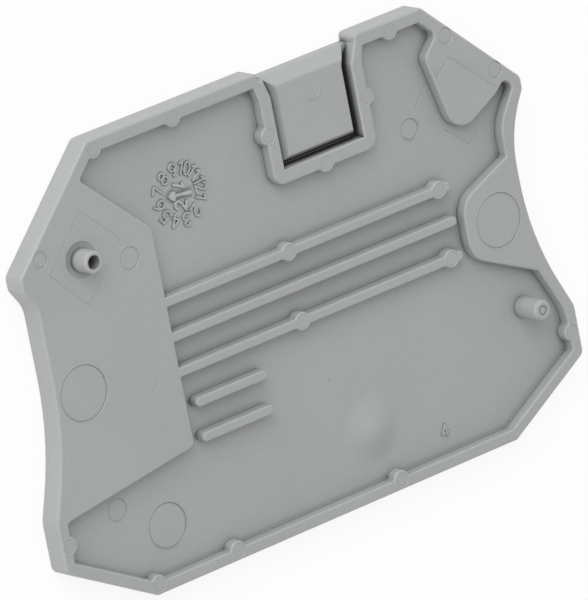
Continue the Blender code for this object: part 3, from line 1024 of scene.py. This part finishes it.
# Shader nodes
def add_node(tree, kind, sockets=None, **settings):
    """A node with those settings, each socket given a value or another node's output."""
    node = tree.nodes.new(kind)
    for setting, value in settings.items():
        setattr(node, setting, value)
    for socket, value in (sockets or {}).items():
        if isinstance(value, bpy.types.NodeSocket):
            tree.links.new(value, node.inputs[socket])
        else:
            node.inputs[socket].default_value = value
    return node


def worked_out(tree, operation, *values):
    node = add_node(tree, "ShaderNodeMath", dict(enumerate(values)), operation=operation)
    return node.outputs["Value"]


def mapped(tree, value, from_low, from_high, to_low=0, to_high=1):
    sockets = {"From Min": from_low, "From Max": from_high, "To Min": to_low, "To Max": to_high}
    return add_node(tree, "ShaderNodeMapRange", {"Value": value, **sockets}).outputs["Result"]


def mixed(tree, blend, factor, a, b):
    sockets = {"Factor": factor, "A": a, "B": b}
    node = add_node(tree, "ShaderNodeMix", sockets, data_type="RGBA", blend_type=blend)
    return node.outputs["Result"]


def height_part(tree, vector):
    return add_node(tree, "ShaderNodeSeparateXYZ", {"Vector": vector}).outputs["Z"]


# Moulded grey plastic
DARKER_GREY = (0.327, 0.341, 0.336, 1)
PALER_GREY = (0.343, 0.357, 0.352, 1)
# Lighter grey on the rim's rounded edges: edge wear, and partly a painted highlight there
WEAR_AND_HIGHLIGHT_GREY = (0.355, 0.368, 0.363, 1)
NOISE_LOW = 0.3
NOISE_HIGH = 0.7
CLOUD_SCALE = 90
SPECK_SCALE = 2600
SPECK_SHADES = (0.98, 1.02)
SKIN_SCALE = 5200
SKIN_STRENGTH = 0.25
SKIN_DEPTH = 0.00002
ROUGHNESS = (0.44, 0.56)
# Tilt and height that pick the rim's rounded top edges for the wear and the painted highlight
WEAR_AND_HIGHLIGHT_TILT = (0.97, 0.8)
WEAR_AND_HIGHLIGHT_HEIGHT = (2.02 * MM, 2.1 * MM)
# Painted shade: walls, the foot of walls and deep recesses darkened in the colour by how shut in they are
WALL_TILT = (0.92, 0.6)
LEVEL_SHARE = 0.26
FOOT_REACH = 0.6 * MM
FOOT_SHUT_IN = (0.92, 0.4)
FOOT_SHADE = 0.85
RECESS_REACH = 1.6 * MM
RECESS_SHUT_IN = (0.6, 0.08)
RECESS_SHADE = 0.55
SHUT_IN_RAYS = 8
# Painted light and shade on the raised marks: lighter tops, darker grooves round them
RELIEF_HEIGHTS = (-0.05, 0.15)
RELIEF_PAINTED_LIGHT = (0.95, 1.15)


def moulded_grain():
    """Mottle, specks, edge wear with a painted highlight, painted shade in recesses, painted light on the
    raised marks and a fine uneven skin, as masks and a normal.
    """
    group = bpy.data.node_groups.new("moulded_grain", "ShaderNodeTree")
    for mask in ("Mottle", "Speck", "Wear And Highlight", "Painted Shade And Relief Light"):
        group.interface.new_socket(mask, in_out="OUTPUT", socket_type="NodeSocketFloat")
    group.interface.new_socket("Normal", in_out="OUTPUT", socket_type="NodeSocketVector")
    place = add_node(group, "ShaderNodeTexCoord").outputs["Object"]
    upright = height_part(group, add_node(group, "ShaderNodeNewGeometry").outputs["Normal"])

    def noise(scale, detail, roughness=0.55):
        sockets = {"Scale": scale, "Detail": detail, "Roughness": roughness, "Vector": place}
        return add_node(group, "ShaderNodeTexNoise", sockets).outputs["Fac"]

    def shut_in(reach, limits):
        """How far the surface is shut in by what stands within that reach."""
        settings = {"samples": SHUT_IN_RAYS, "only_local": True}
        around = add_node(group, "ShaderNodeAmbientOcclusion", {"Distance": reach}, **settings)
        return mapped(group, around.outputs["AO"], *limits)

    def times(one, other):
        return worked_out(group, "MULTIPLY", one, other)

    def rest(share):
        return worked_out(group, "SUBTRACT", 1, share)

    # Edge wear with a painted highlight on the rim's rounded top edges
    tilted = mapped(group, upright, *WEAR_AND_HIGHLIGHT_TILT)
    high = mapped(group, height_part(group, place), *WEAR_AND_HIGHLIGHT_HEIGHT)
    # Painted shade at the foot of walls, stronger on steep faces, and in deep recesses
    wall = mapped(group, upright, *WALL_TILT)
    steep = worked_out(group, "MULTIPLY_ADD", wall, 1 - LEVEL_SHARE, LEVEL_SHARE)
    foot = times(times(shut_in(FOOT_REACH, FOOT_SHUT_IN), steep), FOOT_SHADE)
    deep = times(shut_in(RECESS_REACH, RECESS_SHUT_IN), RECESS_SHADE)
    # Painted light on the raised marks' tops and painted shade in the grooves round them
    relief = add_node(group, "ShaderNodeAttribute", attribute_name="relief").outputs["Fac"]
    painted_relief_light = mapped(group, relief, *RELIEF_HEIGHTS, *RELIEF_PAINTED_LIGHT)
    skin = noise(SKIN_SCALE, 2, 0.5)
    sockets = {"Strength": SKIN_STRENGTH, "Distance": SKIN_DEPTH, "Height": skin}
    bump = add_node(group, "ShaderNodeBump", sockets)
    add_node(group, "NodeGroupOutput", {
        "Mottle": noise(CLOUD_SCALE, 4),
        "Speck": noise(SPECK_SCALE, 3),
        "Wear And Highlight": times(tilted, high),
        "Painted Shade And Relief Light": times(times(rest(foot), rest(deep)), painted_relief_light),
        "Normal": bump.outputs["Normal"],
    })
    return group


def grey_polyamide():
    material = bpy.data.materials.new("grey_polyamide")
    material.use_nodes = True
    tree = material.node_tree
    look_masks = add_node(tree, "ShaderNodeGroup", node_tree=moulded_grain()).outputs
    mottled = add_node(tree, "ShaderNodeValToRGB", {"Fac": look_masks["Mottle"]})
    stops = ((NOISE_LOW, DARKER_GREY), (NOISE_HIGH, PALER_GREY))
    for element, (position, grey) in zip(mottled.color_ramp.elements, stops):
        element.position = position
        element.color = grey
    speck = mapped(tree, look_masks["Speck"], NOISE_LOW, NOISE_HIGH, *SPECK_SHADES)
    colour = mixed(tree, "MULTIPLY", 1, mottled.outputs["Color"], speck)
    # Lighter grey on the rim's edges: edge wear and a painted highlight
    colour = mixed(tree, "MIX", look_masks["Wear And Highlight"], colour, WEAR_AND_HIGHLIGHT_GREY)
    # Painted shade in recesses and painted light on the raised marks, multiplied into the colour
    colour = mixed(tree, "MULTIPLY", 1, colour, look_masks["Painted Shade And Relief Light"])
    shader = tree.nodes["Principled BSDF"]
    tree.links.new(colour, shader.inputs["Base Color"])
    roughness = mapped(tree, look_masks["Mottle"], NOISE_LOW, NOISE_HIGH, *ROUGHNESS)
    tree.links.new(roughness, shader.inputs["Roughness"])
    tree.links.new(look_masks["Normal"], shader.inputs["Normal"])
    return material


def place_cover():
    cover = bpy.data.objects.new("moulded_cover", build_mesh("moulded_cover"))
    bpy.context.scene.collection.objects.link(cover)
    cover.data.materials.append(grey_polyamide())
    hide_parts("end_cover")
    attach(cover, "root")


# Floor, light and camera
FLOOR_WHITE = (0.92, 0.92, 0.92, 1)
FLOOR_ROUGHNESS = 0.9
FLOOR_SPECULAR = 0.1
FLOOR_GLOW = 0.85
FLOOR_SIZE = 3.0
FLOOR_DROP = 0.00005
SKY_STRENGTH = 2.95
SKY_EDGE = (1, 1, 1, 1)
SKY_LOW_AT = 0.16
SKY_LOW = (0.27, 0.27, 0.27, 1)
SKY_TOP = (0.24, 0.24, 0.24, 1)
SOFTBOX_PLACE = (-0.55, 0.82, 0.67)
SOFTBOX_SIZE = 0.9
SOFTBOX_WATTS = 8
SENSOR_WIDTH = 36
FOCAL_LENGTH = 602.17
SEEN_FROM = 0.05
SEEN_TO = 20
CAMERA_PLACE = (
    (0.76795091, 0.32014292, -0.55476113, -0.47483),
    (-0.18264964, 0.93962099, 0.28939852, 0.24731),
    (0.61391409, -0.12091694, 0.78005678, 0.66911),
    (0, 0, 0, 1),
)


def white_board():
    """White floor that keeps the object's shadow and shows as white to the camera."""
    material = bpy.data.materials.new("white_board")
    material.use_nodes = True
    tree = material.node_tree
    shader = tree.nodes["Principled BSDF"]
    shader.inputs["Base Color"].default_value = FLOOR_WHITE
    shader.inputs["Roughness"].default_value = FLOOR_ROUGHNESS
    shader.inputs["Specular IOR Level"].default_value = FLOOR_SPECULAR
    glow = add_node(tree, "ShaderNodeEmission", {"Strength": 1.0})
    rays = add_node(tree, "ShaderNodeLightPath").outputs
    seen = rays["Is Camera Ray"]
    for kind in ("Is Glossy Ray", "Is Transmission Ray"):
        seen = worked_out(tree, "MAXIMUM", seen, rays[kind])
    share = worked_out(tree, "MULTIPLY", seen, FLOOR_GLOW)
    sockets = {"Fac": share, 1: shader.outputs["BSDF"], 2: glow.outputs["Emission"]}
    mix = add_node(tree, "ShaderNodeMixShader", sockets)
    tree.links.new(mix.outputs["Shader"], tree.nodes["Material Output"].inputs["Surface"])
    return material


def lay_floor():
    size = FLOOR_SIZE
    data = bpy.data.meshes.new("floor")
    corners = [(-size, -size, 0), (size, -size, 0), (size, size, 0), (-size, size, 0)]
    data.from_pydata(corners, [], [(0, 1, 2, 3)])
    floor = bpy.data.objects.new("floor", data)
    floor.location.z = -FLOOR_DROP
    data.materials.append(white_board())
    bpy.context.scene.collection.objects.link(floor)


def soft_light(name, location, size, watts):
    data = bpy.data.lights.new(name, "AREA")
    data.shape = "SQUARE"
    data.size = size
    data.energy = watts
    lamp = bpy.data.objects.new(name, data)
    lamp.location = location
    lamp.rotation_euler = (-Vector(location)).to_track_quat("-Z", "Y").to_euler()
    bpy.context.scene.collection.objects.link(lamp)


def light_studio():
    """A sky that is bright at the horizon and dim above, with one soft lamp behind the cover."""
    world = bpy.data.worlds.new("studio")
    bpy.context.scene.world = world
    world.use_nodes = True
    tree = world.node_tree
    upward = height_part(tree, add_node(tree, "ShaderNodeTexCoord").outputs["Generated"])
    tent = add_node(tree, "ShaderNodeValToRGB", {"Fac": upward})
    ramp_points = tent.color_ramp.elements
    tent.color_ramp.interpolation = "EASE"
    ramp_points[0].color = SKY_EDGE
    ramp_points[1].color = SKY_TOP
    ramp_points.new(SKY_LOW_AT).color = SKY_LOW
    sky = tree.nodes["Background"]
    tree.links.new(tent.outputs["Color"], sky.inputs["Color"])
    sky.inputs["Strength"].default_value = SKY_STRENGTH
    soft_light("back_left_softbox", SOFTBOX_PLACE, SOFTBOX_SIZE, SOFTBOX_WATTS)


def place_camera():
    data = bpy.data.cameras.new("camera")
    data.sensor_width = SENSOR_WIDTH
    data.lens = FOCAL_LENGTH
    data.clip_start = SEEN_FROM
    data.clip_end = SEEN_TO
    camera = bpy.data.objects.new("camera", data)
    camera.matrix_world = Matrix(CAMERA_PLACE)
    bpy.context.scene.collection.objects.link(camera)
    bpy.context.scene.camera = camera


place_cover()
lay_floor()
light_studio()
place_camera()
bpy.context.scene.view_settings.view_transform = "Standard"
